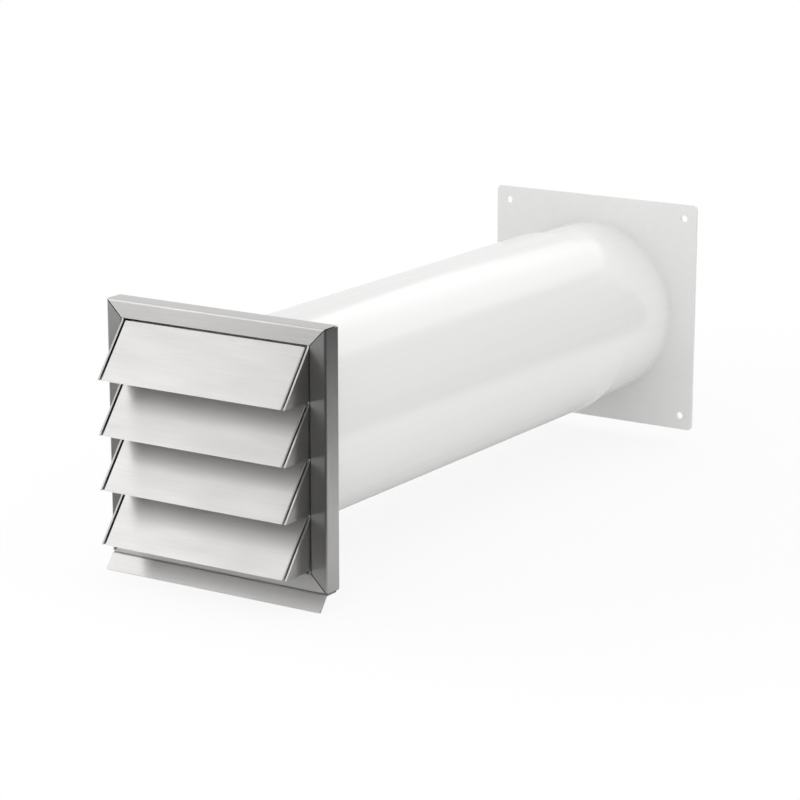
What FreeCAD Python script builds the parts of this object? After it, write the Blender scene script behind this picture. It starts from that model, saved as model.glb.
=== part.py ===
import FreeCAD, Part
import os
import re
import Sketcher

# A wall vent sleeve: a square steel louvre grille outside, a round plastic sleeve through the wall,
# and a wall plate inside whose spigot slides in the sleeve to suit the wall.
# +Y runs along the duct from the grille to the room, +Z is up.
# The origin is the middle of the wall plate's wall side.

# Driving sizes in millimetres
SIZES = {
    # Wall, from the grille's back to the wall plate
    "wall_span": 518,
    # Grille frame, folded from strip
    "grille_size": 185,
    "frame_depth": 15,
    "frame_sheet": 1,
    "frame_bend": 1.6,
    "rim_width": 12.5,
    "mitre_gap": 0.8,
    "weld_gap": 0.1,
    # Saw-tooth cheeks
    "cheek_sheet": 1.5,
    "cheek_bend": 2.2,
    "cheek_flange": 10,
    "cheek_gap": 0.8,
    # Louvre slats
    "louvre_top_gap": 1.6,
    "slat_pitch": 39.5,
    "slat_reach": 28.8,
    "slat_drop": 37.3,
    "slat_sheet": 0.8,
    "slat_bend": 2.2,
    "slat_flange": 11,
    "slat_ledge": 3,
    "ledge_inset": 4,
    # Drip lip
    "lip_reach": 8.1,
    "lip_drop": 10.6,
    "lip_sheet": 1,
    "lip_bend": 1.5,
    "lip_flange": 12,
    "lip_inset": 0.3,
    "lip_corner": 1.2,
    # Back plate and collar
    "plate_sheet": 1,
    "plate_bend": 1.6,
    "plate_edge": 8,
    "collar_sheet": 0.8,
    "collar_flange": 8,
    "collar_length": 40,
    # Plastic sleeve
    "sleeve_diameter": 150,
    "sleeve_wall": 2.6,
    "sleeve_length": 441,
    "slip_clearance": 0.3,
    # Wall plate with its spigot
    "spigot_wall": 2.2,
    "spigot_length": 150,
    "wall_plate_size": 189,
    "wall_plate_thickness": 2.5,
    "wall_plate_corner": 4,
    "wall_plate_round": 1,
    "screw_inset": 11.5,
    "screw_hole": 6,
    "tube_chamfer": 0.8,
}
SLAT_COUNT = 4

# Places and sizes worked out from the driving ones, as formulas
GRILLE_FRONT = "-(wall_span + frame_depth)"
FRAME_HALF = "(grille_size / 2)"
OPENING_HALF = f"({FRAME_HALF} - rim_width)"
CHEEK_OUTER = f"({OPENING_HALF} - cheek_gap)"
CHEEK_INNER = f"({CHEEK_OUTER} - cheek_sheet)"
CHEEK_END = f"({OPENING_HALF} - weld_gap)"
BEHIND_RIM = "(frame_sheet + weld_gap)"
SLAT_HALF = f"({CHEEK_INNER} - weld_gap)"
LOUVRE_TOP = f"({OPENING_HALF} - louvre_top_gap)"
SLAT_SLOPE = "(slat_drop / slat_reach)"
SLAT_LENGTH = "sqrt(slat_reach ^ 2 + slat_drop ^ 2)"
SLAT_SHEET_RISE = f"(slat_sheet * {SLAT_LENGTH} / slat_reach)"
LIP_TOP = f"(-{FRAME_HALF} - weld_gap)"
LIP_FALL = "(lip_drop - weld_gap)"
LIP_LENGTH = f"sqrt(lip_reach ^ 2 + {LIP_FALL} ^ 2)"
PLATE_HALF = f"({FRAME_HALF} - frame_sheet - weld_gap)"
SLEEVE_RADIUS = "(sleeve_diameter / 2)"
SLEEVE_BORE = f"({SLEEVE_RADIUS} - sleeve_wall)"
SPIGOT_RADIUS = f"({SLEEVE_BORE} - slip_clearance)"
SPIGOT_BORE = f"({SPIGOT_RADIUS} - spigot_wall)"
COLLAR_RADIUS = f"({SLEEVE_BORE} - slip_clearance)"
SLEEVE_SEAT = f"({SLEEVE_RADIUS} + slip_clearance)"
WALL_PLATE_HALF = "(wall_plate_size / 2)"
# How far a cutting outline runs past the solid that it cuts
OVERRUN = "5"
TOLERANCE = 1e-4

doc = FreeCAD.newDocument("wall_vent_sleeve")
sheet = doc.addObject("Spreadsheet::Sheet", "sizes")
for row, (alias, number) in enumerate(SIZES.items(), start=1):
    sheet.set(f"A{row}", str(number))
    sheet.setAlias(f"A{row}", alias)
doc.recompute()
sub_parts = []


def value(text):
    """The number that a formula gives."""
    return float(sheet.evalExpression(text))


def bind(thing, prop, text):
    """Ties a property to the sheet by a formula of the sizes' names."""
    cells = re.sub(r"[a-z_]+", lambda word: f"sizes.{word[0]}" if word[0] in SIZES else word[0], text)
    thing.setExpression(prop, cells)


def new_body(name, turn=0, y="0", z="0"):
    """An empty sub-part, turned about the duct's axis and moved along it and up."""
    body = doc.addObject("PartDesign::Body", name)
    body.Label = name
    body.Placement.Rotation = FreeCAD.Rotation(FreeCAD.Vector(0, 1, 0), turn)
    bind(body, "Placement.Base.y", y)
    bind(body, "Placement.Base.z", z)
    sub_parts.append(body)
    return body


def new_sketch(body, role, lift="0"):
    """A sketch on one of the body's own planes, lifted along that plane's normal."""
    plane = next(item for item in body.Origin.OriginFeatures if item.Role == role)
    sketch = body.newObject("Sketcher::SketchObject", f"{body.Name}_sketch")
    sketch.AttachmentSupport = [(plane, "")]
    sketch.MapMode = "FlatFace"
    bind(sketch, "AttachmentOffset.Base.z", lift)
    return sketch


def fix_point(sketch, geometry, point, x, y):
    """Holds one point of a sketch at a place given by two formulas."""
    for kind, text in (("DistanceX", x), ("DistanceY", y)):
        constraint = Sketcher.Constraint(kind, -1, 1, geometry, point, value(text))
        number = sketch.addConstraint(constraint)
        bind(sketch, f"Constraints[{number}]", text)


def add_polygon(sketch, corners):
    """A closed outline through corners that are pairs of formulas."""
    points = [FreeCAD.Vector(value(x), value(y), 0) for x, y in corners]
    following = points[1:] + points[:1]
    lines = [sketch.addGeometry(Part.LineSegment(*ends), False) for ends in zip(points, following)]
    for line, after in zip(lines, lines[1:] + lines[:1]):
        sketch.addConstraint(Sketcher.Constraint("Coincident", line, 2, after, 1))
    for line, (x, y) in zip(lines, corners):
        fix_point(sketch, line, 1, x, y)


def add_square(sketch, half):
    """A square round the sketch's origin."""
    add_polygon(sketch, [(f"-{half}", f"-{half}"), (half, f"-{half}"), (half, half), (f"-{half}", half)])


def add_circle(sketch, radius, x="0", y="0"):
    """A circle whose radius and middle are formulas."""
    middle = FreeCAD.Vector(value(x), value(y), 0)
    circle = sketch.addGeometry(Part.Circle(middle, FreeCAD.Vector(0, 0, 1), value(radius)), False)
    fix_point(sketch, circle, 3, x, y)
    number = sketch.addConstraint(Sketcher.Constraint("Radius", circle, value(radius)))
    bind(sketch, f"Constraints[{number}]", radius)


def add_feature(body, kind, sketch, length, side="One side", back=False):
    """A pad or pocket of a sketch; with no length it goes through all."""
    feature = body.newObject(f"PartDesign::{kind}", f"{body.Name}_{kind}")
    feature.Profile = sketch
    feature.SideType = side
    feature.Reversed = back
    if length is None:
        feature.Type = "ThroughAll"
    else:
        bind(feature, "Length", length)
    doc.recompute()
    return feature


def dress(body, kind, base, choose, size):
    """A fillet or chamfer on the edges whose middles pass a test."""
    middles = [edge.valueAt((edge.FirstParameter + edge.LastParameter) / 2) for edge in base.Shape.Edges]
    names = [f"Edge{number}" for number, middle in enumerate(middles, start=1) if choose(middle)]
    feature = body.newObject(f"PartDesign::{kind}", f"{body.Name}_{kind}")
    feature.Base = (base, names)
    bind(feature, "Radius" if kind == "Fillet" else "Size", size)
    doc.recompute()
    return feature


def near(number, text):
    """Whether a number is what a formula gives."""
    return abs(number - value(text)) < TOLERANCE


def radius_of(point):
    """A point's distance from the duct's axis."""
    return (point.x ** 2 + point.z ** 2) ** 0.5


def frame_bar(name, turn):
    """A mitred angle bar: its rim faces out, its wall runs back to the building's wall."""
    body = new_body(name, turn, GRILLE_FRONT)
    wall_inside = f"{FRAME_HALF} - frame_sheet"
    profile = new_sketch(body, "YZ_Plane")
    add_polygon(profile, [
        ("0", OPENING_HALF),
        ("0", FRAME_HALF),
        ("frame_depth", FRAME_HALF),
        ("frame_depth", wall_inside),
        ("frame_sheet", wall_inside),
        ("frame_sheet", OPENING_HALF),
    ])
    bar = add_feature(body, "Pad", profile, "grille_size", "Symmetric")
    bar = dress(body, "Fillet", bar, lambda p: near(p.y, "0") and near(p.z, FRAME_HALF), "frame_bend")
    bar = dress(body, "Fillet", bar, lambda p: near(p.y, "frame_sheet") and near(p.z, wall_inside),
                "frame_bend - frame_sheet")
    mitre = new_sketch(body, "XZ_Plane")
    low = f"{OPENING_HALF} - {OVERRUN}"
    high = f"{FRAME_HALF} + {OVERRUN}"
    for side in ("", "-"):
        add_polygon(mitre, [
            (f"{side}({low} - mitre_gap / sqrt(2))", low),
            (f"{side}({high} - mitre_gap / sqrt(2))", high),
            (f"{side}({high})", low),
        ])
    add_feature(body, "Pocket", mitre, None, "Symmetric")


def cheek(name, right):
    """A side plate with one tooth beside each slat and a flange folded out behind the rim."""
    body = new_body(name, 0, GRILLE_FRONT)
    flange_back = f"({BEHIND_RIM} + cheek_sheet)"
    outline = [(flange_back, CHEEK_END), ("0", CHEEK_END)]
    for number in range(SLAT_COUNT):
        tooth_top = f"{LOUVRE_TOP} - {number} * slat_pitch"
        tooth_foot = f"{tooth_top} - slat_drop"
        outline += [("0", tooth_top), ("-slat_reach", tooth_foot), ("0", tooth_foot)]
    outline += [("0", f"-{CHEEK_END}"), (flange_back, f"-{CHEEK_END}")]
    web = new_sketch(body, "YZ_Plane", CHEEK_INNER if right else f"-{CHEEK_OUTER}")
    add_polygon(web, outline)
    add_feature(body, "Pad", web, "cheek_sheet")
    sign = "" if right else "-"
    flange_edge = f"{sign}({CHEEK_OUTER} + cheek_flange)"
    flange = new_sketch(body, "XZ_Plane", f"-{flange_back}")
    add_polygon(flange, [
        (f"{sign}{CHEEK_INNER}", f"-{CHEEK_END}"),
        (flange_edge, f"-{CHEEK_END}"),
        (flange_edge, CHEEK_END),
        (f"{sign}{CHEEK_INNER}", CHEEK_END),
    ])
    plate = add_feature(body, "Pad", flange, "cheek_sheet")
    plate = dress(body, "Fillet", plate,
                  lambda p: near(p.y, flange_back) and near(abs(p.x), CHEEK_INNER) and near(p.z, "0"),
                  "cheek_bend")
    dress(body, "Fillet", plate,
          lambda p: near(p.y, BEHIND_RIM) and near(abs(p.x), CHEEK_OUTER) and near(p.z, "0"),
          "cheek_bend - cheek_sheet")


def slat(name, number):
    """A sloped face with both side edges folded back along the cheeks and a ledge folded back at its top."""
    body = new_body(name, 0, GRILLE_FRONT, f"{LOUVRE_TOP} - {number} * slat_pitch")
    block = new_sketch(body, "YZ_Plane")
    add_polygon(block, [
        ("-slat_reach", "-slat_drop"),
        ("slat_flange - slat_reach", "-slat_drop"),
        ("0", f"-slat_flange * {SLAT_SLOPE}"),
        ("0", "0"),
    ])
    face = add_feature(body, "Pad", block, f"2 * {SLAT_HALF}", "Symmetric")
    face = dress(body, "Fillet", face,
                 lambda p: near(p.z, f"{p.y} * {SLAT_SLOPE}") and near(abs(p.x), SLAT_HALF), "slat_bend")
    hollow = new_sketch(body, "YZ_Plane")
    low = f"(-slat_drop - {OVERRUN})"
    low_y = f"(({low} + {SLAT_SHEET_RISE}) / {SLAT_SLOPE})"
    high_y = OVERRUN
    high = f"({high_y} * {SLAT_SLOPE} - {SLAT_SHEET_RISE})"
    add_polygon(hollow, [
        (low_y, low),
        (f"{low_y} + 2 * slat_flange", low),
        (f"{high_y} + 2 * slat_flange", high),
        (high_y, high),
    ])
    face = add_feature(body, "Pocket", hollow, f"2 * ({SLAT_HALF} - slat_sheet)", "Symmetric")
    face = dress(body, "Fillet", face,
                 lambda p: near(p.z, f"{p.y} * {SLAT_SLOPE} - {SLAT_SHEET_RISE}")
                 and near(abs(p.x), f"{SLAT_HALF} - slat_sheet"), "slat_bend - slat_sheet")
    ledge = new_sketch(body, "YZ_Plane")
    add_polygon(ledge, [
        ("0", "-slat_sheet"),
        ("slat_ledge", "-slat_sheet"),
        ("slat_ledge", "0"),
        ("0", "0"),
    ])
    add_feature(body, "Pad", ledge, f"2 * ({SLAT_HALF} - ledge_inset)", "Symmetric")


def drip_lip(name):
    """A strip under the frame, bent down and out in front so that water drips clear of the wall."""
    body = new_body(name, 0, GRILLE_FRONT)
    edge_y = f"(lip_sheet * {LIP_FALL} / {LIP_LENGTH} - lip_reach)"
    edge_z = f"({LIP_TOP} - {LIP_FALL} - lip_sheet * lip_reach / {LIP_LENGTH})"
    fold_y = f"(lip_sheet * ({LIP_LENGTH} - lip_reach) / {LIP_FALL})"
    profile = new_sketch(body, "YZ_Plane")
    add_polygon(profile, [
        ("lip_flange", LIP_TOP),
        ("0", LIP_TOP),
        ("-lip_reach", f"{LIP_TOP} - {LIP_FALL}"),
        (edge_y, edge_z),
        (fold_y, f"{LIP_TOP} - lip_sheet"),
        ("lip_flange", f"{LIP_TOP} - lip_sheet"),
    ])
    strip = add_feature(body, "Pad", profile, "grille_size - 2 * lip_inset", "Symmetric")
    strip = dress(body, "Fillet", strip, lambda p: near(p.x, "0") and near(p.y, "0"), "lip_bend")
    strip = dress(body, "Fillet", strip, lambda p: near(p.x, "0") and near(p.y, fold_y),
                  "lip_bend - lip_sheet")
    dress(body, "Fillet", strip,
          lambda p: near(p.y, f"({edge_y} - lip_reach) / 2") and not near(p.x, "0"), "lip_corner")


def back_plate(name):
    """A shallow folded lid inside the frame, with a round hole that the sleeve's end sits in."""
    body = new_body(name, 0, GRILLE_FRONT)
    square = new_sketch(body, "XZ_Plane", "-frame_depth")
    add_square(square, PLATE_HALF)
    lid = add_feature(body, "Pad", square, "plate_edge")
    lid = dress(body, "Fillet", lid, lambda p: near(p.y, "frame_depth"), "plate_bend")
    inside = new_sketch(body, "XZ_Plane", "plate_edge - frame_depth")
    add_square(inside, f"({PLATE_HALF} - plate_sheet)")
    add_feature(body, "Pocket", inside, "plate_edge - plate_sheet")
    hole = new_sketch(body, "XZ_Plane")
    add_circle(hole, SLEEVE_SEAT)
    add_feature(body, "Pocket", hole, None, "Symmetric")


def collar(name):
    """A round steel neck that plugs into the sleeve; its rim, folded out, lies inside the back plate."""
    body = new_body(name, 0, GRILLE_FRONT)
    rim_back = "(frame_depth - plate_sheet - weld_gap)"
    rim_front = f"({rim_back} - collar_sheet)"
    neck_end = "frame_depth + collar_length"
    neck_inside = f"({COLLAR_RADIUS} - collar_sheet)"
    profile = new_sketch(body, "YZ_Plane")
    add_polygon(profile, [
        (rim_front, neck_inside),
        (neck_end, neck_inside),
        (neck_end, COLLAR_RADIUS),
        (rim_back, COLLAR_RADIUS),
        (rim_back, f"{SLEEVE_SEAT} + collar_flange"),
        (rim_front, f"{SLEEVE_SEAT} + collar_flange"),
    ])
    neck = body.newObject("PartDesign::Revolution", f"{name}_Revolution")
    neck.Profile = profile
    neck.ReferenceAxis = (profile, ["H_Axis"])


def sleeve(name):
    """The round tube through the wall, from the collar's rim to short of the wall plate."""
    body = new_body(name, 0, "-(wall_span + plate_sheet)")
    rings = new_sketch(body, "XZ_Plane")
    add_circle(rings, SLEEVE_RADIUS)
    add_circle(rings, SLEEVE_BORE)
    tube = add_feature(body, "Pad", rings, "sleeve_length", back=True)
    dress(body, "Chamfer", tube,
          lambda p: near(p.y, "sleeve_length") and near(radius_of(p), SLEEVE_RADIUS), "tube_chamfer")


def wall_plate(name):
    """A square plate with a screw hole in each corner, moulded with the spigot that slides in the sleeve."""
    body = new_body(name)
    outline = new_sketch(body, "XZ_Plane")
    add_square(outline, WALL_PLATE_HALF)
    add_circle(outline, SPIGOT_BORE)
    plate = add_feature(body, "Pad", outline, "wall_plate_thickness", back=True)
    plate = dress(body, "Fillet", plate,
                  lambda p: near(abs(p.x), WALL_PLATE_HALF) and near(abs(p.z), WALL_PLATE_HALF),
                  "wall_plate_corner")
    plate = dress(body, "Fillet", plate,
                  lambda p: near(p.y, "wall_plate_thickness") and not near(radius_of(p), SPIGOT_BORE),
                  "wall_plate_round")
    rings = new_sketch(body, "XZ_Plane")
    add_circle(rings, SPIGOT_RADIUS)
    add_circle(rings, SPIGOT_BORE)
    plate = add_feature(body, "Pad", rings, "spigot_length")
    plate = dress(body, "Chamfer", plate,
                  lambda p: near(p.y, "-spigot_length") and near(radius_of(p), SPIGOT_RADIUS), "tube_chamfer")
    plate = dress(body, "Chamfer", plate,
                  lambda p: near(p.y, "wall_plate_thickness") and near(radius_of(p), SPIGOT_BORE),
                  "tube_chamfer")
    screws = new_sketch(body, "XZ_Plane")
    screw_place = f"({WALL_PLATE_HALF} - screw_inset)"
    for x in ("-", ""):
        for z in ("-", ""):
            add_circle(screws, "screw_hole / 2", f"{x}{screw_place}", f"{z}{screw_place}")
    add_feature(body, "Pocket", screws, None, "Symmetric")


def check_document():
    """Stops if any object of the document failed or any sub-part is empty or broken."""
    for item in doc.Objects:
        if "Invalid" in item.State or "Error" in item.State:
            raise RuntimeError(f"{item.Label} failed: {item.State}")
    for body in sub_parts:
        if body.Shape.isNull() or not body.Shape.isValid() or len(body.Shape.Solids) != 1:
            raise RuntimeError(f"{body.Label} is not one valid solid")


for bar_name, bar_turn in (("frame_top", 0), ("frame_right", 90), ("frame_bottom", 180), ("frame_left", 270)):
    frame_bar(bar_name, bar_turn)
cheek("cheek_left", False)
cheek("cheek_right", True)
for slat_number in range(SLAT_COUNT):
    slat(f"slat_{slat_number + 1}", slat_number)
drip_lip("drip_lip")
back_plate("back_plate")
collar("collar")
sleeve("sleeve")
wall_plate("wall_plate")
doc.recompute()
check_document()

os.makedirs("parts", exist_ok=True)
for part in sub_parts:
    part.Shape.exportStep(f"parts/{part.Label}.step")
    box = part.Shape.BoundBox
    print(f"{part.Label}: {part.Shape.Volume:.0f} mm3, x {box.XMin:.2f}..{box.XMax:.2f},"
          f" y {box.YMin:.2f}..{box.YMax:.2f}, z {box.ZMin:.2f}..{box.ZMax:.2f}")
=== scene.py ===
# %% [markdown]
# # Dressing a wall vent sleeve
#
# The object is a through-the-wall vent: a square louvre grille of brushed stainless steel outside, a round
# white plastic sleeve through the wall, and a white plate inside, whose spigot slides in the sleeve.
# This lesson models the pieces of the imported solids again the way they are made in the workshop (sheet is
# folded, tube is turned), so that bends and edges are soft. Then it gives them their finishes, a small
# studio and the camera.

# %% Load the solids as a fixed frame
import math
import bmesh
import bpy
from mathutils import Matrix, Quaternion, Vector


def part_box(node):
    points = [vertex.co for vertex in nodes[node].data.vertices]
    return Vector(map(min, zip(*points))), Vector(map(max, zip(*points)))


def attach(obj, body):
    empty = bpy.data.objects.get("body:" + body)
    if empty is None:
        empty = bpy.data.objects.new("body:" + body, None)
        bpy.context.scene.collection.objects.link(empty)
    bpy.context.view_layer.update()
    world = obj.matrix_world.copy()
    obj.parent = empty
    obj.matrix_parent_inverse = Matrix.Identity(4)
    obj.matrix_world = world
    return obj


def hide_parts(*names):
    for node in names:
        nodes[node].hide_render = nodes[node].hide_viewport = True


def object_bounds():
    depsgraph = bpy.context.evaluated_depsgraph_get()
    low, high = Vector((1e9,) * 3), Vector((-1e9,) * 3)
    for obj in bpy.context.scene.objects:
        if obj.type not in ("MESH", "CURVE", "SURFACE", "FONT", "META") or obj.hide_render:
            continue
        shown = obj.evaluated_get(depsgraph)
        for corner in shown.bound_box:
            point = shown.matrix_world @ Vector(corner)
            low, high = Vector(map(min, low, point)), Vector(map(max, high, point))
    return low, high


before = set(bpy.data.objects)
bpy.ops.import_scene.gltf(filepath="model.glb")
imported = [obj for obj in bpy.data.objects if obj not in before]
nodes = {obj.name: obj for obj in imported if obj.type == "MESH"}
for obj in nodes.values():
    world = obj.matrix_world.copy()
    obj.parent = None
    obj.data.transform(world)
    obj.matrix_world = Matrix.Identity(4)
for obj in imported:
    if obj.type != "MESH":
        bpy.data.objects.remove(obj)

solid_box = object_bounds()
# Lengths are in metres
MM = 0.001
print("solids:", ", ".join(sorted(nodes)))

# %% [markdown]
# ## Working by hand in code
#
# An operator acts on all that is selected, and the loaded solids are still selected, so each piece starts
# with nothing selected. In edit mode, edges or points are picked by where their middle lies.
# A new primitive gets its place applied at once, so that in edit mode every coordinate is a place on the
# object.

# %% Helpers for starting, copying and picking
SAME_PLACE = 0.01 * MM


def settle():
    """Applies the place, turn and scale of what is selected."""
    bpy.ops.object.transform_apply(location=True, rotation=True, scale=True)


def start(add_primitive, place, size, turn=(0, 0, 0)):
    """Adds a unit primitive, gives it its size and place, and opens it in edit mode."""
    bpy.ops.object.select_all(action="DESELECT")
    add_primitive(size=1, location=place, rotation=turn)
    piece = bpy.context.object
    piece.scale = size
    settle()
    bpy.ops.object.mode_set(mode="EDIT")
    return piece


def select_only(piece):
    """Makes a piece the only one selected, and the active one."""
    bpy.ops.object.select_all(action="DESELECT")
    piece.select_set(True)
    bpy.context.view_layer.objects.active = piece


def copy_of(piece):
    """Copies a piece and leaves the copy selected and active."""
    select_only(piece)
    bpy.ops.object.duplicate()
    return bpy.context.object


def at(number, place):
    """Whether a coordinate is at a place, to a hundredth of a millimetre."""
    return abs(number - place) < SAME_PLACE


def pick(kind, test):
    """Selects the points (VERT) or edges (EDGE) whose middle passes a test."""
    bpy.ops.mesh.select_mode(type=kind)
    bpy.ops.mesh.select_all(action="DESELECT")
    mesh = bmesh.from_edit_mesh(bpy.context.edit_object.data)
    for item in mesh.verts if kind == "VERT" else mesh.edges:
        corners = [item.co] if kind == "VERT" else [corner.co for corner in item.verts]
        item.select_set(test(sum(corners, Vector()) / len(corners)))
    mesh.select_flush_mode()


# %% [markdown]
# ### Tools for sheet
#
# Sheet metal needs few tools: pull an edge out, round a fold, saw along a plane, give the sheet its
# thickness and take the sharpness off its edges.

# %% Helpers for folding, sawing and finishing
SHARP_ANGLE = math.radians(40)
SMOOTH_ANGLE = math.radians(35)


def extrude(x, y, z):
    """Pulls the selection out along a line."""
    bpy.ops.mesh.extrude_region_move(TRANSFORM_OT_translate={"value": (x, y, z)})


def round_edges(offset, segments):
    """Rounds the picked edges."""
    bpy.ops.mesh.bevel(offset=offset, segments=segments, affect="EDGES")


def saw(place, way, **options):
    """Cuts the whole mesh along a plane."""
    bpy.ops.mesh.select_all(action="SELECT")
    bpy.ops.mesh.bisect(plane_co=place, plane_no=way, **options)


def apply_modifier(piece, kind, **settings):
    """Adds a modifier to a piece, sets it and applies it."""
    bpy.context.view_layer.objects.active = piece
    modifier = piece.modifiers.new(kind.title(), kind)
    for key, setting in settings.items():
        setattr(modifier, key, setting)
    bpy.ops.object.modifier_apply(modifier=modifier.name)


def thicken(piece, sheet):
    """Gives a folded surface the thickness of its sheet, on the side away from its normals."""
    apply_modifier(piece, "SOLIDIFY", thickness=sheet, offset=-1, use_even_offset=True)


def deburr(piece, edge):
    """Takes the sharpness off every cut edge, as a brush wheel does, and smooths the bends."""
    apply_modifier(piece, "BEVEL", width=edge, segments=2, limit_method="ANGLE", angle_limit=SHARP_ANGLE)
    select_only(piece)
    bpy.ops.object.shade_smooth_by_angle(angle=SMOOTH_ANGLE)


def stand_for(piece, node, body):
    """Keeps flat faces flat to the light, puts a piece in its solid's place and compares their boxes."""
    apply_modifier(piece, "WEIGHTED_NORMAL", weight=100, keep_sharp=True)
    piece.name = f"{node}_piece"
    piece.data.name = piece.name
    low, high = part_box(node)
    points = [vertex.co for vertex in piece.data.vertices]
    made_low = Vector(min(p[i] for p in points) for i in range(3))
    made_high = Vector(max(p[i] for p in points) for i in range(3))
    off = max(abs(v) for v in (*(made_low - low), *(made_high - high))) / MM
    triangles = sum(len(face.vertices) - 2 for face in piece.data.polygons)
    print(f"{piece.name}: {triangles} triangles, box within {off:.2f} mm of the solid's")
    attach(piece, body)
    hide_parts(node)


# %% [markdown]
# ## Frame bars
#
# The grille's frame is four lengths of folded strip, mitred at the corners. A bar could be a bevelled box,
# but then the bend would be as hard as the cut ends. Here it is folded as on a brake: the rim is a flat
# strip, its outer edge is pulled back to make the wall, the fold is rounded, the strip gets its thickness,
# and the two mitres are sawn last. One bar is made, and three copies of it are turned round the duct's
# axis.

# %% Fold and mitre one bar, then turn copies of it
FRONT = -533 * MM
FRAME_HALF = 92.5 * MM
OPENING_HALF = 80 * MM
FRAME_DEPTH = 15 * MM
FRAME_SHEET = 1 * MM
FRAME_BEND = 1.6 * MM
MITRE_GAP = 0.8 * MM
SHEET_EDGE = 0.12 * MM

bar = start(bpy.ops.mesh.primitive_plane_add, (0, FRONT, (FRAME_HALF + OPENING_HALF) / 2),
            (2 * FRAME_HALF, FRAME_HALF - OPENING_HALF, 1), (math.pi / 2, 0, 0))
pick("EDGE", lambda p: at(p.z, FRAME_HALF))
extrude(0, FRAME_DEPTH, 0)
pick("EDGE", lambda p: at(p.z, FRAME_HALF) and at(p.y, FRONT))
round_edges(FRAME_BEND, segments=6)
bpy.ops.object.mode_set(mode="OBJECT")
thicken(bar, FRAME_SHEET)
bpy.ops.object.mode_set(mode="EDIT")
mitre_start = OPENING_HALF - MITRE_GAP / math.sqrt(2)
for side in (-1, 1):
    saw((side * mitre_start, 0, OPENING_HALF), (side, 0, -1), use_fill=True, clear_outer=True)
bpy.ops.object.mode_set(mode="OBJECT")
deburr(bar, SHEET_EDGE)

frame_bars = {"frame_top": bar}
for node, turn in (("frame_right", 90), ("frame_bottom", 180), ("frame_left", 270)):
    frame_bars[node] = copy_of(bar)
    frame_bars[node].rotation_euler.y = math.radians(turn)
    settle()
for node, piece in frame_bars.items():
    stand_for(piece, node, "grille_side")

# %% [markdown]
# ## Cheeks
#
# A cheek is the plate that closes the ends of the slats: a straight web with one tooth beside each slat,
# and a flange folded out behind the rim to weld it to the frame. The teeth could be cut out of a large
# plate. It is quicker to grow them: the web's front edge is divided where each tooth starts and ends,
# those lengths are pulled forward, and the top corner of each is pushed back so that the tooth slopes.

# %% Grow the teeth of one cheek, fold its flange and mirror it
WELD_GAP = 0.1 * MM
CHEEK_OUTER = 79.2 * MM
CHEEK_SHEET = 1.5 * MM
CHEEK_INNER = CHEEK_OUTER - CHEEK_SHEET
CHEEK_END = 79.9 * MM
CHEEK_FLANGE = 10 * MM
CHEEK_BEND = 2.2 * MM
CHEEK_BACK = FRONT + FRAME_SHEET + WELD_GAP + CHEEK_SHEET
LOUVRE_TOP = 78.4 * MM
SLAT_COUNT = 4
SLAT_PITCH = 39.5 * MM
SLAT_REACH = 28.8 * MM
SLAT_DROP = 37.3 * MM
tooth_tops = [LOUVRE_TOP - number * SLAT_PITCH for number in range(SLAT_COUNT)]

cheek = start(bpy.ops.mesh.primitive_plane_add, (CHEEK_INNER, (FRONT + CHEEK_BACK) / 2, 0),
              (CHEEK_BACK - FRONT, 2 * CHEEK_END, 1), (math.pi / 2, 0, -math.pi / 2))
for top in tooth_tops:
    for height in (top, top - SLAT_DROP):
        saw((0, 0, height), (0, 0, 1))
middles = [top - SLAT_DROP / 2 for top in tooth_tops]
pick("EDGE", lambda p: at(p.y, FRONT) and any(at(p.z, middle) for middle in middles))
extrude(0, -SLAT_REACH, 0)
pick("VERT", lambda p: at(p.y, FRONT - SLAT_REACH) and any(at(p.z, top) for top in tooth_tops))
bpy.ops.transform.translate(value=(0, SLAT_REACH, 0))
bpy.ops.mesh.select_all(action="SELECT")
bpy.ops.mesh.remove_doubles(threshold=SAME_PLACE)
pick("EDGE", lambda p: at(p.y, CHEEK_BACK))
extrude(CHEEK_SHEET + CHEEK_FLANGE, 0, 0)
pick("EDGE", lambda p: at(p.y, CHEEK_BACK) and at(p.x, CHEEK_INNER))
round_edges(CHEEK_BEND, segments=5)
bpy.ops.object.mode_set(mode="OBJECT")
thicken(cheek, CHEEK_SHEET)
deburr(cheek, SHEET_EDGE)

left_cheek = copy_of(cheek)
left_cheek.scale.x = -1
settle()
bpy.ops.object.mode_set(mode="EDIT")
bpy.ops.mesh.select_all(action="SELECT")
bpy.ops.mesh.normals_make_consistent(inside=False)
bpy.ops.object.mode_set(mode="OBJECT")
stand_for(cheek, "cheek_right", "grille_side")
stand_for(left_cheek, "cheek_left", "grille_side")

# %% [markdown]
# ## Slats
#
# Each slat is one sheet: a sloped face, both side edges folded back along the cheeks, and a short ledge
# folded back at its top, which leaves a dark slot under the frame's rim. It could be three plates side by
# side, but then no fold would catch the light, so it is folded from one sheet too. The side folds are drawn
# tighter than the solids' and stand a little further off the cheeks, which leaves a deep, dark groove there.
# Three copies hang below the first slat.

# %% Fold one slat and hang its copies
SLAT_HALF = 76.4 * MM
SLAT_SHEET = 0.8 * MM
SLAT_BEND = 0.9 * MM
SLAT_FLANGE = 11 * MM
SLAT_EDGE = 0.1 * MM
SLAT_LEDGE = 3 * MM
LEDGE_INSET = 4 * MM
FOOT_TRIM = 0.02 * MM
slope = SLAT_DROP / SLAT_REACH
slat_angle = math.atan2(SLAT_DROP, SLAT_REACH)
foot = Vector((0, FRONT - SLAT_REACH, LOUVRE_TOP - SLAT_DROP))
head = Vector((0, FRONT, LOUVRE_TOP))

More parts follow.
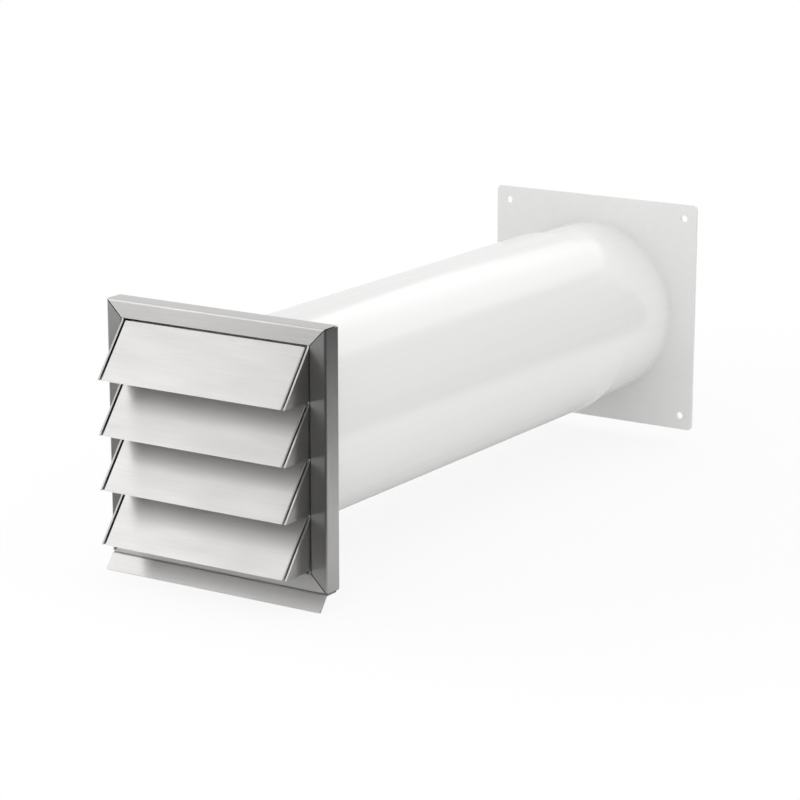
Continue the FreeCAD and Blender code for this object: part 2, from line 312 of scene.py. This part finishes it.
slat = start(bpy.ops.mesh.primitive_plane_add, (foot + head) / 2,
             (2 * SLAT_HALF, (head - foot).length, 1), (slat_angle, 0, 0))
for side in (-1, 1):
    saw((side * (SLAT_HALF - LEDGE_INSET), 0, 0), (1, 0, 0))
pick("EDGE", lambda p: at(abs(p.x), SLAT_HALF))
extrude(0, SLAT_FLANGE, 0)
saw((0, FRONT, 0), (0, 1, 0), clear_outer=True)
pick("EDGE", lambda p: at(abs(p.x), SLAT_HALF) and at(p.z - LOUVRE_TOP, (p.y - FRONT) * slope))
round_edges(SLAT_BEND, segments=5)
pick("EDGE", lambda p: at(p.x, 0) and at(p.z, head.z))
extrude(0, SLAT_LEDGE, 0)
bpy.ops.object.mode_set(mode="OBJECT")
thicken(slat, SLAT_SHEET)
bpy.ops.object.mode_set(mode="EDIT")
saw(foot + Vector((0, 0, FOOT_TRIM)), (0, 0, -1), use_fill=True, clear_outer=True)
bpy.ops.object.mode_set(mode="OBJECT")
deburr(slat, SLAT_EDGE)

slats = [slat]
for number in range(1, SLAT_COUNT):
    slats.append(copy_of(slat))
    bpy.ops.transform.translate(value=(0, 0, -number * SLAT_PITCH))
    settle()
for number, piece in enumerate(slats, start=1):
    stand_for(piece, f"slat_{number}", "grille_side")

# %% [markdown]
# ## Drip lip
#
# A strip under the frame, bent down and out in front, so that rain drips clear of the wall. It is folded as
# the bars are. Its two front corners are nipped round, which is done on the points while it has no
# thickness yet.

# %% Fold the lip and round its corners
LIP_HALF = 92.2 * MM
LIP_TOP = -92.6 * MM
LIP_FLANGE = 12 * MM
LIP_REACH = 8.1 * MM
LIP_FALL = 10.5 * MM
LIP_SHEET = 1 * MM
LIP_BEND = 0.74 * MM
LIP_CORNER = 1.2 * MM

lip = start(bpy.ops.mesh.primitive_plane_add, (0, FRONT + LIP_FLANGE / 2, LIP_TOP),
            (2 * LIP_HALF, LIP_FLANGE, 1))
pick("EDGE", lambda p: at(p.y, FRONT))
extrude(0, -LIP_REACH, -LIP_FALL)
pick("VERT", lambda p: at(p.y, FRONT - LIP_REACH))
bpy.ops.mesh.bevel(offset=LIP_CORNER, segments=5, affect="VERTICES")
pick("EDGE", lambda p: at(p.y, FRONT) and at(p.z, LIP_TOP))
round_edges(LIP_BEND, segments=5)
bpy.ops.object.mode_set(mode="OBJECT")
thicken(lip, LIP_SHEET)
deburr(lip, SHEET_EDGE)
stand_for(lip, "drip_lip", "grille_side")

# %% [markdown]
# ## Sleeve
#
# The sleeve is a length of extruded plastic tube. A cylinder with a smaller one cut out of it would do, but
# a turned section keeps both walls and both ends in one clean mesh: the wall's cut section is a thin
# rectangle beside the axis, its corners are eased, and it is spun once round the duct's axis.

# %% Spin the wall's section into a tube
ROUND_STEPS = 192
SPIN_SEAM = 0.005 * MM
SLEEVE_RADIUS = 75 * MM
SLEEVE_BORE = 72.4 * MM
SLEEVE_FRONT = -519 * MM
SLEEVE_BACK = -78 * MM
SLEEVE_EASE = 0.7 * MM


def turn_section(name, inner, outer, first_y, last_y, ease):
    """A tube spun from the section of its wall, with its corners eased."""
    section = start(bpy.ops.mesh.primitive_plane_add, ((inner + outer) / 2, (first_y + last_y) / 2, 0),
                    (outer - inner, last_y - first_y, 1))
    section.name = name
    bpy.ops.mesh.select_all(action="SELECT")
    bpy.ops.mesh.bevel(offset=ease, segments=3, affect="VERTICES")
    bpy.ops.mesh.select_mode(type="FACE")
    bpy.ops.mesh.select_all(action="SELECT")
    bpy.ops.mesh.delete(type="ONLY_FACE")
    bpy.ops.mesh.select_mode(type="EDGE")
    bpy.ops.mesh.select_all(action="SELECT")
    bpy.ops.mesh.spin(steps=ROUND_STEPS, angle=2 * math.pi, center=(0, 0, 0), axis=(0, 1, 0))
    bpy.ops.mesh.select_all(action="SELECT")
    bpy.ops.mesh.remove_doubles(threshold=SPIN_SEAM)
    bpy.ops.mesh.normals_make_consistent(inside=False)
    bpy.ops.object.mode_set(mode="OBJECT")
    bpy.ops.object.shade_smooth_by_angle(angle=SMOOTH_ANGLE)
    return section


sleeve = turn_section("sleeve", SLEEVE_BORE, SLEEVE_RADIUS, SLEEVE_FRONT, SLEEVE_BACK, SLEEVE_EASE)
stand_for(sleeve, "sleeve", "grille_side")

# %% [markdown]
# ## Wall plate and spigot
#
# The plate and its spigot come out of one mould. The plate is a flat box with rounded corners, and the
# spigot is turned like the sleeve and melted into it with a union. The bore and the four screw holes are
# then drilled, and the inner corner where tube meets plate gets the small round of a mould.

# %% Mould the plate, the spigot and the holes
PLATE_HALF = 94.5 * MM
PLATE_THICKNESS = 2.5 * MM
PLATE_CORNER = 4 * MM
PLATE_ROUND = 1 * MM
SPIGOT_RADIUS = 72.1 * MM
SPIGOT_BORE = 69.9 * MM
SPIGOT_LENGTH = 150 * MM
SPIGOT_EASE = 0.6 * MM
SPIGOT_SUNK = 1.2 * MM
BORE_ALLOWANCE = 1 * MM
ROOT_ROUND = 0.8 * MM
ROOT_SLACK = 0.1 * MM
SCREW_INSET = 11.5 * MM
SCREW_PLACE = PLATE_HALF - SCREW_INSET
SCREW_RADIUS = 3 * MM
SCREW_STEPS = 48
DRILL_LENGTH = 400 * MM


def drill(piece, radius, x, z, steps):
    """Cuts a round hole through a piece, along the duct."""
    bpy.ops.object.select_all(action="DESELECT")
    bpy.ops.mesh.primitive_cylinder_add(vertices=steps, radius=radius, depth=DRILL_LENGTH,
                                        location=(x, 0, z), rotation=(math.pi / 2, 0, 0))
    drill_bit = bpy.context.object
    apply_modifier(piece, "BOOLEAN", object=drill_bit, operation="DIFFERENCE", solver="EXACT")
    bpy.data.objects.remove(drill_bit)


plate = start(bpy.ops.mesh.primitive_cube_add, (0, PLATE_THICKNESS / 2, 0),
              (2 * PLATE_HALF, PLATE_THICKNESS, 2 * PLATE_HALF))
pick("EDGE", lambda p: at(abs(p.x), PLATE_HALF) and at(abs(p.z), PLATE_HALF))
round_edges(PLATE_CORNER, segments=8)
pick("EDGE", lambda p: at(p.y, PLATE_THICKNESS))
round_edges(PLATE_ROUND, segments=4)
bpy.ops.object.mode_set(mode="OBJECT")
spigot = turn_section("spigot", SPIGOT_BORE - BORE_ALLOWANCE, SPIGOT_RADIUS, -SPIGOT_LENGTH, SPIGOT_SUNK,
                      SPIGOT_EASE)
apply_modifier(plate, "BOOLEAN", object=spigot, operation="UNION", solver="EXACT")
bpy.data.objects.remove(spigot)
drill(plate, SPIGOT_BORE, 0, 0, ROUND_STEPS)
for x in (-SCREW_PLACE, SCREW_PLACE):
    for z in (-SCREW_PLACE, SCREW_PLACE):
        drill(plate, SCREW_RADIUS, x, z, SCREW_STEPS)

select_only(plate)
bpy.ops.object.mode_set(mode="EDIT")
bpy.ops.mesh.select_all(action="SELECT")
bpy.ops.mesh.remove_doubles(threshold=SAME_PLACE)
pick("EDGE", lambda p: at(p.y, 0) and abs(math.hypot(p.x, p.z) - SPIGOT_RADIUS) < ROOT_SLACK)
print("root edges:", sum(edge.select for edge in bmesh.from_edit_mesh(plate.data).edges))
round_edges(ROOT_ROUND, segments=3)
bpy.ops.object.mode_set(mode="OBJECT")
bpy.ops.object.shade_smooth_by_angle(angle=SMOOTH_ANGLE)
stand_for(plate, "wall_plate", "wall_side")

# %% [markdown]
# ## Finishes
#
# A colour is written as it is seen on a screen, so one function turns it to the linear light that the
# renderer works in. Another small function adds a node, sets it and links it, which keeps each material
# short to read.

# %% Colour, node and material helpers
# Most values of a noise texture lie between these
NOISE_SPAN = {"From Min": 0.3, "From Max": 0.7}


def linear(code):
    """The linear colour of an sRGB hex code."""
    parts = [int(code[i:i + 2], 16) / 255 for i in (1, 3, 5)]
    return (*[p / 12.92 if p <= 0.04045 else ((p + 0.055) / 1.055) ** 2.4 for p in parts], 1)


def add_node(tree, kind, settings=None, links=None):
    """Adds a node, sets its sockets or its own settings, and links sockets into it."""
    node = tree.nodes.new(kind)
    for key, setting in (settings or {}).items():
        if isinstance(key, int) or key in node.inputs:
            node.inputs[key].default_value = setting
        else:
            setattr(node, key, setting)
    for key, socket in (links or {}).items():
        tree.links.new(socket, node.inputs[key])
    return node


def new_material(name):
    """An empty node material and its tree."""
    material = bpy.data.materials.new(name)
    material.use_nodes = True
    material.node_tree.nodes.clear()
    return material, material.node_tree


def coat(piece, material):
    """Gives a piece one material, in place of any that it has."""
    piece.data.materials.clear()
    piece.data.materials.append(material)


# %% [markdown]
# ### Brushed stainless steel
#
# The grille is stainless sheet, ground with an abrasive belt along its length. The belt leaves fine
# parallel scratches, so light spreads across them and hardly at all along them: a reflection is smeared one
# way only. That direction follows a map on each piece, in metres, whose first axis runs across the grain.

# %% Map the grain and make the steel
X, Y, Z = 0, 1, 2
# Real scratches are about 0.1 mm apart; drawn wider so that they show
SCRATCH_WIDTH, SCRATCH_LENGTH = 0.9 * MM, 45 * MM
CLOUD_WIDTH, CLOUD_LENGTH = 18 * MM, 60 * MM


def map_grain(piece, along):
    """A map whose U runs across the grain and V along it, where along is the axis of the grain."""
    layer = piece.data.uv_layers.new(name="grain")
    for loop in piece.data.loops:
        place = piece.data.vertices[loop.vertex_index].co
        layer.data[loop.index].uv = (sum(place) - place[along], place[along])


# Belt-ground stainless: a clear grey metal whose highlights are drawn out across the scratches
steel, tree = new_material("stainless_belt_ground")
grain = add_node(tree, "ShaderNodeUVMap", {"uv_map": "grain"})
scratch_place = add_node(tree, "ShaderNodeMapping", {"Scale": (1 / SCRATCH_WIDTH, 1 / SCRATCH_LENGTH, 1)},
                         {"Vector": grain.outputs["UV"]})
scratches = add_node(tree, "ShaderNodeTexNoise", {"Scale": 1.0, "Detail": 3.0, "Roughness": 0.6},
                     {"Vector": scratch_place.outputs["Vector"]})
cloud_place = add_node(tree, "ShaderNodeMapping", {"Scale": (1 / CLOUD_WIDTH, 1 / CLOUD_LENGTH, 1)},
                       {"Vector": grain.outputs["UV"]})
clouds = add_node(tree, "ShaderNodeTexNoise", {"Scale": 1.0, "Detail": 2.0},
                  {"Vector": cloud_place.outputs["Vector"]})
tone = add_node(tree, "ShaderNodeMapRange", {**NOISE_SPAN, "To Min": 0.0, "To Max": 1.0},
                {"Value": scratches.outputs["Fac"]})
colour = add_node(tree, "ShaderNodeMix", {"data_type": "RGBA"}, {"Factor": tone.outputs["Result"]})
colour.inputs["A"].default_value = linear("#CECDCC")
colour.inputs["B"].default_value = linear("#D6D5D4")
rough = add_node(tree, "ShaderNodeMapRange", {**NOISE_SPAN, "To Min": 0.36, "To Max": 0.42},
                 {"Value": clouds.outputs["Fac"]})
ridges = add_node(tree, "ShaderNodeBump", {"Strength": 0.06, "Distance": 0.02 * MM},
                  {"Height": scratches.outputs["Fac"]})
across = add_node(tree, "ShaderNodeTangent", {"direction_type": "UV_MAP", "uv_map": "grain"})
shader = add_node(tree, "ShaderNodeBsdfPrincipled", {"Metallic": 1.0, "Anisotropic": 0.9},
                  {"Base Color": colour.outputs["Result"], "Roughness": rough.outputs["Result"],
                   "Normal": ridges.outputs["Normal"], "Tangent": across.outputs["Tangent"]})
add_node(tree, "ShaderNodeOutputMaterial", {}, {"Surface": shader.outputs["BSDF"]})

grain_ways = {"frame_top": X, "frame_bottom": X, "frame_left": Z, "frame_right": Z}
for node, piece in frame_bars.items():
    map_grain(piece, grain_ways[node])
for piece in (*slats, lip):
    map_grain(piece, X)
for piece in (cheek, left_cheek):
    map_grain(piece, Y)
steel_pieces = (*frame_bars.values(), *slats, lip, cheek, left_cheek)
for piece in steel_pieces:
    coat(piece, steel)
print("grain mapped on", len(steel_pieces), "steel pieces")

# %% [markdown]
# ### Mill-finish steel
#
# The back plate and the collar are hidden in use, so they keep the dull, even skin of the rolling mill.
# Their solids already have the right shape, so they stay and only get this finish.

# %% Mill finish for the two hidden pieces
PATCH_SIZE = 4 * MM

# Mill-finish stainless: a duller grey metal with rolling marks in small patches
mill, tree = new_material("stainless_mill_finish")
place = add_node(tree, "ShaderNodeTexCoord")
patch_place = add_node(tree, "ShaderNodeMapping", {"Scale": (1 / PATCH_SIZE,) * 3},
                       {"Vector": place.outputs["Object"]})
patches = add_node(tree, "ShaderNodeTexNoise", {"Scale": 1.0, "Detail": 4.0},
                   {"Vector": patch_place.outputs["Vector"]})
colour = add_node(tree, "ShaderNodeMix", {"data_type": "RGBA"}, {"Factor": patches.outputs["Fac"]})
colour.inputs["A"].default_value = linear("#BDBCBB")
colour.inputs["B"].default_value = linear("#CCCBCA")
rough = add_node(tree, "ShaderNodeMapRange", {**NOISE_SPAN, "To Min": 0.38, "To Max": 0.48},
                 {"Value": patches.outputs["Fac"]})
shader = add_node(tree, "ShaderNodeBsdfPrincipled", {"Metallic": 1.0},
                  {"Base Color": colour.outputs["Result"], "Roughness": rough.outputs["Result"]})
add_node(tree, "ShaderNodeOutputMaterial", {}, {"Surface": shader.outputs["BSDF"]})
for node in ("back_plate", "collar"):
    coat(nodes[node], mill)
print("mill finish on the back plate and the collar")

# %% [markdown]
# ### White plastic
#
# The sleeve is extruded and the plate is moulded, both from white PVC. It is a dense white with a smooth,
# glossy skin; the extruder leaves very faint lines along the tube, and the skin is never perfectly even.

# %% Glossy white plastic, drawn along the tube
LINE_WIDTH, LINE_LENGTH = 6 * MM, 300 * MM

# White PVC: glossy, with faint drawing lines along the duct
plastic, tree = new_material("pvc_white_extruded")
place = add_node(tree, "ShaderNodeTexCoord")
line_place = add_node(tree, "ShaderNodeMapping",
                      {"Scale": (1 / LINE_WIDTH, 1 / LINE_LENGTH, 1 / LINE_WIDTH)},
                      {"Vector": place.outputs["Object"]})
lines = add_node(tree, "ShaderNodeTexNoise", {"Scale": 1.0, "Detail": 2.0},
                 {"Vector": line_place.outputs["Vector"]})
colour = add_node(tree, "ShaderNodeMix", {"data_type": "RGBA"}, {"Factor": lines.outputs["Fac"]})
colour.inputs["A"].default_value = linear("#EEEEED")
colour.inputs["B"].default_value = linear("#F3F3F2")
rough = add_node(tree, "ShaderNodeMapRange", {**NOISE_SPAN, "To Min": 0.14, "To Max": 0.22},
                 {"Value": lines.outputs["Fac"]})
waves = add_node(tree, "ShaderNodeBump", {"Strength": 0.1, "Distance": 0.05 * MM},
                 {"Height": lines.outputs["Fac"]})
shader = add_node(tree, "ShaderNodeBsdfPrincipled", {"IOR": 1.53},
                  {"Base Color": colour.outputs["Result"], "Roughness": rough.outputs["Result"],
                   "Normal": waves.outputs["Normal"]})
add_node(tree, "ShaderNodeOutputMaterial", {}, {"Surface": shader.outputs["BSDF"]})
for piece in (sleeve, plate):
    coat(piece, plastic)
print("white plastic on the sleeve and the wall plate")

# %% [markdown]
# ## Studio
#
# Steel shows its surroundings, so the room matters as much as the lamps.
#
# ### Table
#
# The table has a soft edge and ends in front of the grille. To the camera it mostly glows white, so that
# only a faint shade is left under the tube.

# %% Table with a soft edge
MIDDLE_Y = -0.28
TABLE_RADIUS = 1.6
TABLE_DROP = 0.5 * MM
FADE_CENTRE = Vector((0.10, -0.10, 0))
FADE_WIDTH, FADE_LENGTH = 0.43, 0.62
FLOOR = solid_box[0].z

bpy.ops.object.select_all(action="DESELECT")
bpy.ops.mesh.primitive_circle_add(vertices=96, radius=TABLE_RADIUS, fill_type="NGON",
                                  location=(0, MIDDLE_Y, FLOOR - TABLE_DROP))
floor = bpy.context.object
floor.name = "table_top"
settle()

# Pale laminate, clear beyond its soft edge
table, tree = new_material("table_pale_laminate")
place = add_node(tree, "ShaderNodeTexCoord")
centred = add_node(tree, "ShaderNodeMapping", {"Location": -FADE_CENTRE}, {"Vector": place.outputs["Object"]})
shape = add_node(tree, "ShaderNodeMapping", {"Scale": (1 / FADE_WIDTH, 1 / FADE_LENGTH, 0)},
                 {"Vector": centred.outputs["Vector"]})
reach = add_node(tree, "ShaderNodeVectorMath", {"operation": "LENGTH"}, {"Vector": shape.outputs["Vector"]})
inside = add_node(tree, "ShaderNodeMapRange",
                  {"From Min": 0.55, "From Max": 1.1, "To Min": 1.0, "To Max": 0.0},
                  {"Value": reach.outputs["Value"]})
axes = add_node(tree, "ShaderNodeSeparateXYZ", {}, {"Vector": place.outputs["Object"]})
front = add_node(tree, "ShaderNodeMapRange",
                 {"From Min": -0.66, "From Max": -0.56, "To Min": 0.0, "To Max": 1.0},
                 {"Value": axes.outputs["Y"]})
solid = add_node(tree, "ShaderNodeMath", {"operation": "MULTIPLY"},
                 {0: inside.outputs["Result"], 1: front.outputs["Result"]})
path = add_node(tree, "ShaderNodeLightPath")
seen = add_node(tree, "ShaderNodeMath", {"operation": "MULTIPLY", 1: 0.85},
                {0: path.outputs["Is Camera Ray"]})
matt = add_node(tree, "ShaderNodeBsdfDiffuse", {"Color": linear("#F2F2F2")})
glow = add_node(tree, "ShaderNodeEmission", {"Color": linear("#FFFFFF"), "Strength": 1.0})
clear = add_node(tree, "ShaderNodeBsdfTransparent")
top = add_node(tree, "ShaderNodeMixShader", {},
               {"Fac": seen.outputs["Value"], 1: matt.outputs["BSDF"], 2: glow.outputs["Emission"]})
edge = add_node(tree, "ShaderNodeMixShader", {},
                {"Fac": solid.outputs["Value"], 1: clear.outputs["BSDF"], 2: top.outputs["Shader"]})
add_node(tree, "ShaderNodeOutputMaterial", {}, {"Surface": edge.outputs["Shader"]})
coat(floor, table)
print(f"table at {FLOOR / MM:.1f} mm")

# %% [markdown]
# ### Room
#
# What steel mirrors of the room is light at the back left and overhead, with one round reflector at the
# right front. The rest is unlit, which keeps the frame's edges dark. Straight along the duct it is dark for
# every surface, and from elsewhere matt surfaces get even light. The camera sees plain white.

# %% Room
BACK_LEFT = (-0.87, 0.5, 0)
RIGHT_FRONT = (0.62, -0.42, 0.66)
ALONG_DUCT = (0, 1, 0)

world = bpy.data.worlds.new("studio")
bpy.context.scene.world = world
world.use_nodes = True
tree = world.node_tree
tree.nodes.clear()
place = add_node(tree, "ShaderNodeTexCoord")
path = add_node(tree, "ShaderNodeLightPath")
back_wall = add_node(tree, "ShaderNodeVectorMath", {"operation": "DOT_PRODUCT", 1: BACK_LEFT},
                     {0: place.outputs["Generated"]})
room = add_node(tree, "ShaderNodeMapRange",
                {"From Min": 0.15, "From Max": 0.6, "To Min": 0.05, "To Max": 0.9},
                {"Value": back_wall.outputs["Value"]})
up = add_node(tree, "ShaderNodeSeparateXYZ", {}, {"Vector": place.outputs["Generated"]})
ceiling = add_node(tree, "ShaderNodeMapRange",
                   {"From Min": 0.05, "From Max": 0.75, "To Min": 0.05, "To Max": 0.6},
                   {"Value": up.outputs["Z"]})
walls = add_node(tree, "ShaderNodeMath", {"operation": "MAXIMUM"},
                 {0: room.outputs["Result"], 1: ceiling.outputs["Result"]})
reflector_way = add_node(tree, "ShaderNodeVectorMath", {"operation": "DOT_PRODUCT", 1: RIGHT_FRONT},
                         {0: place.outputs["Generated"]})
reflector = add_node(tree, "ShaderNodeMapRange",
                     {"From Min": 0.8, "From Max": 0.97, "To Min": 0.0, "To Max": 0.8},
                     {"Value": reflector_way.outputs["Value"]})
bright = add_node(tree, "ShaderNodeMath", {"operation": "MAXIMUM"},
                  {0: walls.outputs["Value"], 1: reflector.outputs["Result"]})
down_duct = add_node(tree, "ShaderNodeVectorMath", {"operation": "DOT_PRODUCT", 1: ALONG_DUCT},
                     {0: place.outputs["Generated"]})
shade = add_node(tree, "ShaderNodeMapRange",
                 {"From Min": 0.86, "From Max": 0.96, "To Min": 1.0, "To Max": 0.03},
                 {"Value": down_duct.outputs["Value"]})
shaded = add_node(tree, "ShaderNodeMath", {"operation": "MULTIPLY"},
                  {0: bright.outputs["Value"], 1: shade.outputs["Result"]})
lit = add_node(tree, "ShaderNodeMath", {"operation": "MULTIPLY", 1: 0.95}, {0: shade.outputs["Result"]})
seen_room = add_node(tree, "ShaderNodeBackground", {"Color": linear("#FFFFFF")},
                     {"Strength": shaded.outputs["Value"]})
lit_room = add_node(tree, "ShaderNodeBackground", {"Color": linear("#FFFFFF")},
                    {"Strength": lit.outputs["Value"]})
white = add_node(tree, "ShaderNodeBackground", {"Color": linear("#FFFFFF"), "Strength": 1.0})
inner = add_node(tree, "ShaderNodeMixShader", {},
                 {"Fac": path.outputs["Is Glossy Ray"], 1: lit_room.outputs["Background"],
                  2: seen_room.outputs["Background"]})
outer = add_node(tree, "ShaderNodeMixShader", {},
                 {"Fac": path.outputs["Is Camera Ray"], 1: inner.outputs["Shader"],
                  2: white.outputs["Background"]})
add_node(tree, "ShaderNodeOutputWorld", {}, {"Surface": outer.outputs["Shader"]})
print("room:", len(tree.nodes), "nodes")

# %% [markdown]
# ### Lamps
#
# A tall soft box on the left, leant a little, whitens the slats and leaves their right ends greyer. It shows
# in glossy surfaces only. A panel behind lays a bright band along the tube.

# %% Lamps
GRILLE = Vector((0, -0.55, 0))
BOX_SHIFT = Vector((-0.12, 0.09, 0.6))
PANEL_START = Vector((-0.05, MIDDLE_Y, 0))
PANEL_WAY = Vector((-0.05, 0.814, 0.578))
PANEL_DISTANCE = 1.6


def soft_box(name, middle, facing, width, height, radiance, lean=0):
    """A soft box at a place, turned to face a point, and leant sideways by an angle."""
    lamp = bpy.data.lights.new(name, "AREA")
    lamp.shape = "RECTANGLE"
    lamp.size, lamp.size_y = width, height
    lamp.energy = radiance * math.pi * width * height
    holder = bpy.data.objects.new(name, lamp)
    bpy.context.scene.collection.objects.link(holder)
    away = Vector(middle) - Vector(facing)
    holder.location = middle
    upright = away.to_track_quat("Z", "Y")
    holder.rotation_euler = (upright @ Quaternion((0, 0, 1), math.radians(lean))).to_euler()
    holder.visible_camera = False
    print(f"{name}: {width} by {height} m at {away.length:.2f} m")
    return holder


def from_grille(azimuth, elevation, distance):
    """A place seen from the grille at an angle left of its front and an angle up."""
    a, e = math.radians(azimuth), math.radians(elevation)
    way = Vector((-math.sin(a) * math.cos(e), -math.cos(a) * math.cos(e), math.sin(e)))
    return GRILLE + distance * way


box_place = from_grille(azimuth=37, elevation=0, distance=1.2)
left_box = soft_box("soft_box_left", middle=box_place + BOX_SHIFT, facing=GRILLE + BOX_SHIFT,
                    width=0.66, height=1.55, radiance=1.53, lean=27.5)
left_box.visible_diffuse = False
soft_box("panel_behind", middle=PANEL_START + PANEL_WAY * PANEL_DISTANCE, facing=(0, MIDDLE_Y, 0),
         width=1.1, height=0.5, radiance=1.15)

# %% [markdown]
# ## Camera
#
# The camera stands to the right of the grille and a little above it, far away and with a long lens, as
# product photographs are taken. Its angles and distance were worked out from the corners of the frame and
# the plate.

# %% Camera at the photograph's viewing angle
AZIMUTH = math.radians(32.92)
ELEVATION = math.radians(14.13)
DISTANCE = 2.1289
TARGET = Vector((0.02207, -0.333, -0.0076))

level = math.cos(ELEVATION)
back = Vector((math.sin(AZIMUTH) * level, -math.cos(AZIMUTH) * level, math.sin(ELEVATION)))
lens = bpy.data.cameras.new("camera")
lens.lens = 129.18
lens.sensor_width = 36
camera = bpy.data.objects.new("camera", lens)
bpy.context.scene.collection.objects.link(camera)
camera.location = TARGET + back * DISTANCE
camera.rotation_euler = (-back).to_track_quat("-Z", "Y").to_euler()
bpy.context.scene.camera = camera
bpy.context.scene.view_settings.view_transform = "Standard"
print(f"camera: {DISTANCE:.2f} m away")
